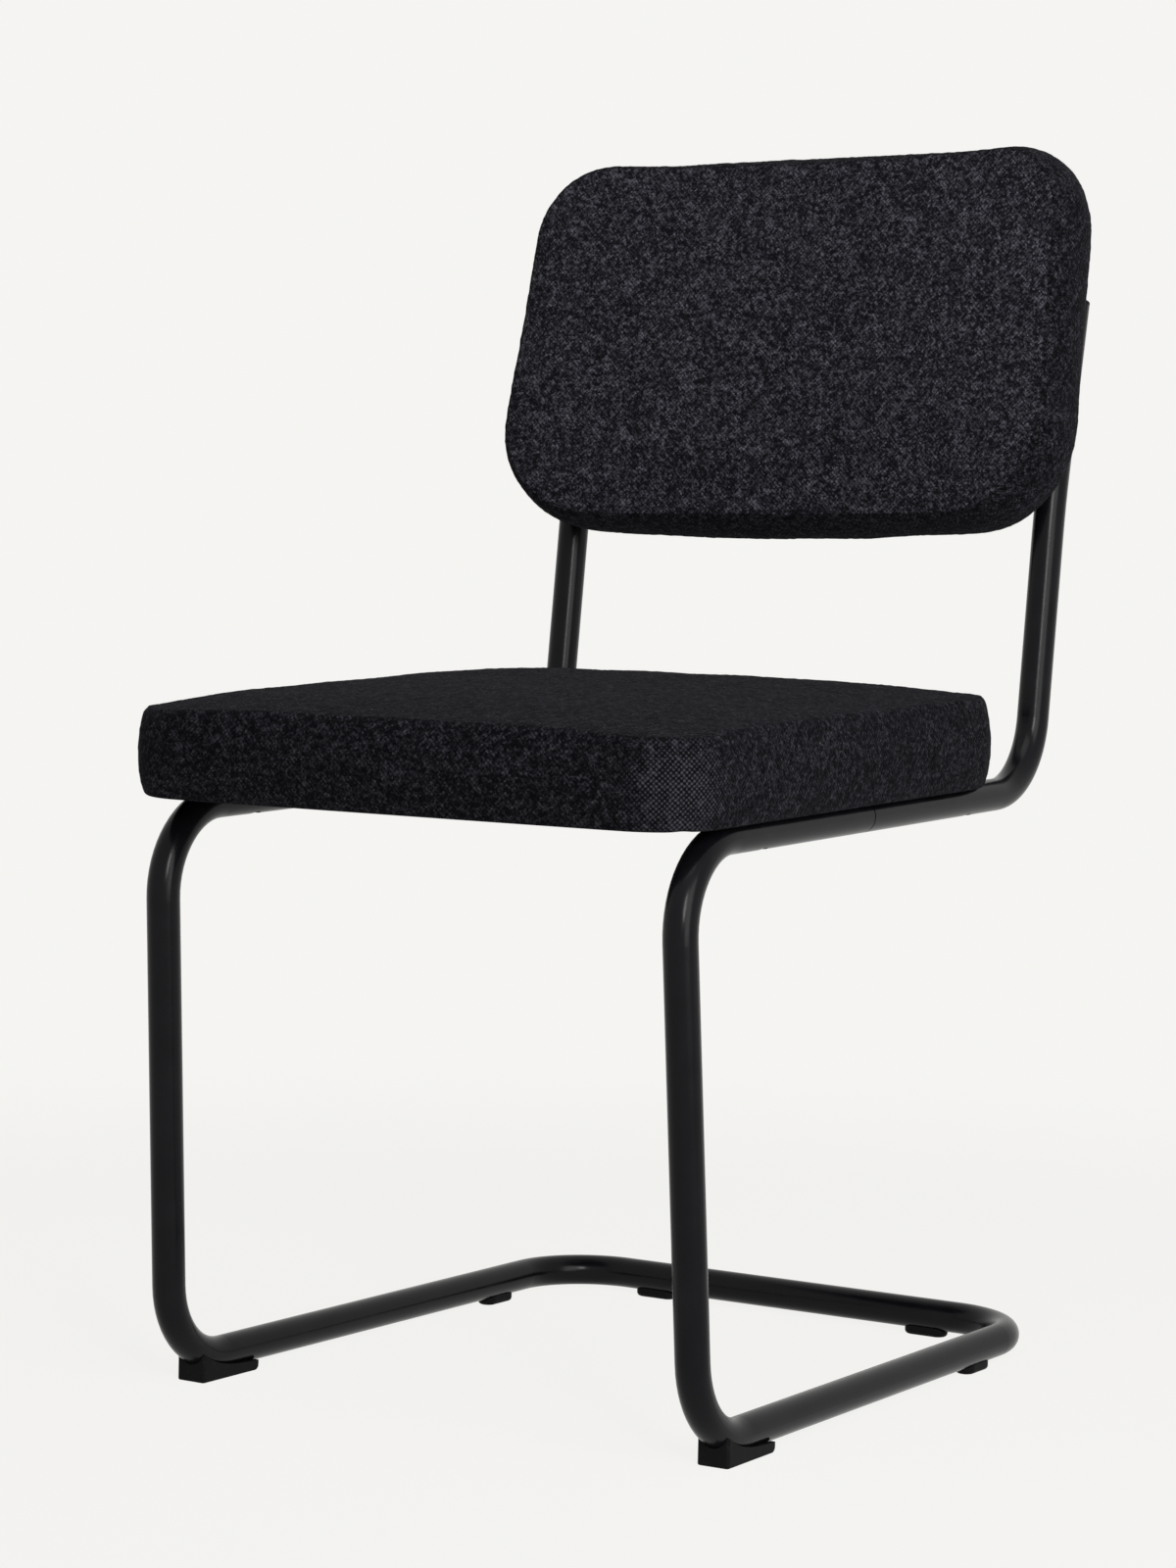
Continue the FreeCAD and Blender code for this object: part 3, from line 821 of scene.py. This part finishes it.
def makeDustCover():
    points, faces = [], []
    for j in range(dust["rows"] + 1):
        for i in range(dust["columns"] + 1):
            u, v = 2 * i / dust["columns"] - 1, j / dust["rows"]
            x = u * dust["halfWidth"]
            s = dust["low"] + v * (dust["high"] - dust["low"])
            belly = (1 - u ** 4) * (1 - (2 * v - 1) ** 4)
            ripple = dust["ripple"] * noise.noise(Vector((x, s, 0)) / dust["rippleLength"]) * belly
            points.append(seatPlace @ Vector((x, s, dust["top"] - dust["sag"] * belly + ripple)))
    across = dust["columns"] + 1
    for j in range(dust["rows"]):
        for i in range(dust["columns"]):
            first = j * across + i
            faces.append([first, first + across, first + across + 1, first + 1])
    sheet = addPiece("dust_cover_sheet", points, faces, spunPaint)
    thicker = sheet.modifiers.new("cloth", "SOLIDIFY")
    thicker.thickness = dust["thickness"]
    thicker.offset = 1
    return sheet


dustSheet = makeDustCover()
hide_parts("seat_dust_cover")
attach(dustSheet, "root")
print("dust cover made")


# floor, backdrop and light
studio = {
    "paper": (0.913, 0.905, 0.888),
    "otherPaper": (0.93, 0.92, 0.91),
    "fillColour": (0.96, 0.97, 1.0, 1),
    "shadowShare": 0.06,
    "floorSize": 6.0,
    "fadeFrom": 0.75,
    "fadeTo": 1.7,
    "fill": 0.12,
}


def makeFloor():
    look = Look("paperFloor")
    place = look.place()
    away = look.node("ShaderNodeVectorMath", {"operation": "LENGTH"}, {0: place}, out="Value")
    glow = look.node("ShaderNodeEmission", None, {"Color": (*studio["paper"], 1), "Strength": 1.0})
    cloudy = look.grain(place, 3.0, 2.0)
    paper = look.node("ShaderNodeBsdfDiffuse", None, {
        "Color": look.blended(cloudy * 0.1, studio["paper"], studio["otherPaper"]), "Roughness": 0.5})
    fade = look.between(away, studio["fadeFrom"], studio["fadeTo"])
    share = look.backgroundShare() * (1 - (1 - fade) * studio["shadowShare"])
    surface = look.node("ShaderNodeMixShader", None, {0: share, 1: paper, 2: glow})
    look.node("ShaderNodeOutputMaterial", None, {"Surface": surface})
    half = studio["floorSize"] / 2
    corners = [(-half, -half, 0), (half, -half, 0), (half, half, 0), (-half, half, 0)]
    floor = addPiece("floor", corners, [[0, 1, 2, 3]], look.owner)


def makeWorld():
    look = Look("studio", bpy.data.worlds)
    seen = look.node("ShaderNodeBackground", None, {"Color": (*studio["paper"], 1), "Strength": 1.0})
    fill = look.node("ShaderNodeBackground", None, {
        "Color": studio["fillColour"], "Strength": studio["fill"]})
    surface = look.node("ShaderNodeMixShader", None, {0: look.backgroundShare(), 1: fill, 2: seen})
    look.node("ShaderNodeOutputWorld", None, {"Surface": surface})
    scene.world = look.owner


lamps = {
    "overhead": {"place": (0.35, -0.55, 1.75), "target": (0, 0.1, 0.55), "size": (0.9, 0.9), "watts": 5.5},
    "side": {"place": (2.35, -0.95, 0.95), "target": (0, 0, 0.5), "size": (1.2, 1.8), "watts": 26.0},
    "strip": {"place": (2.4, -2.4, 1.6), "target": (0.2, 0.2, 0.6), "size": (0.6, 1.2), "watts": 48.0},
}


def makeLamp(name, lamp):
    data = bpy.data.lights.new(name, "AREA")
    data.shape = "RECTANGLE"
    data.size, data.size_y = lamp["size"]
    data.energy = lamp["watts"]
    made = bpy.data.objects.new(name, data)
    scene.collection.objects.link(made)
    made.location = lamp["place"]
    aim = Vector(lamp["target"]) - Vector(lamp["place"])
    made.rotation_euler = aim.to_track_quat("-Z", "Y").to_euler()


makeFloor()
makeWorld()
for name, lamp in lamps.items():
    makeLamp(name, lamp)
scene.view_settings.view_transform = "Standard"
print("studio lit")
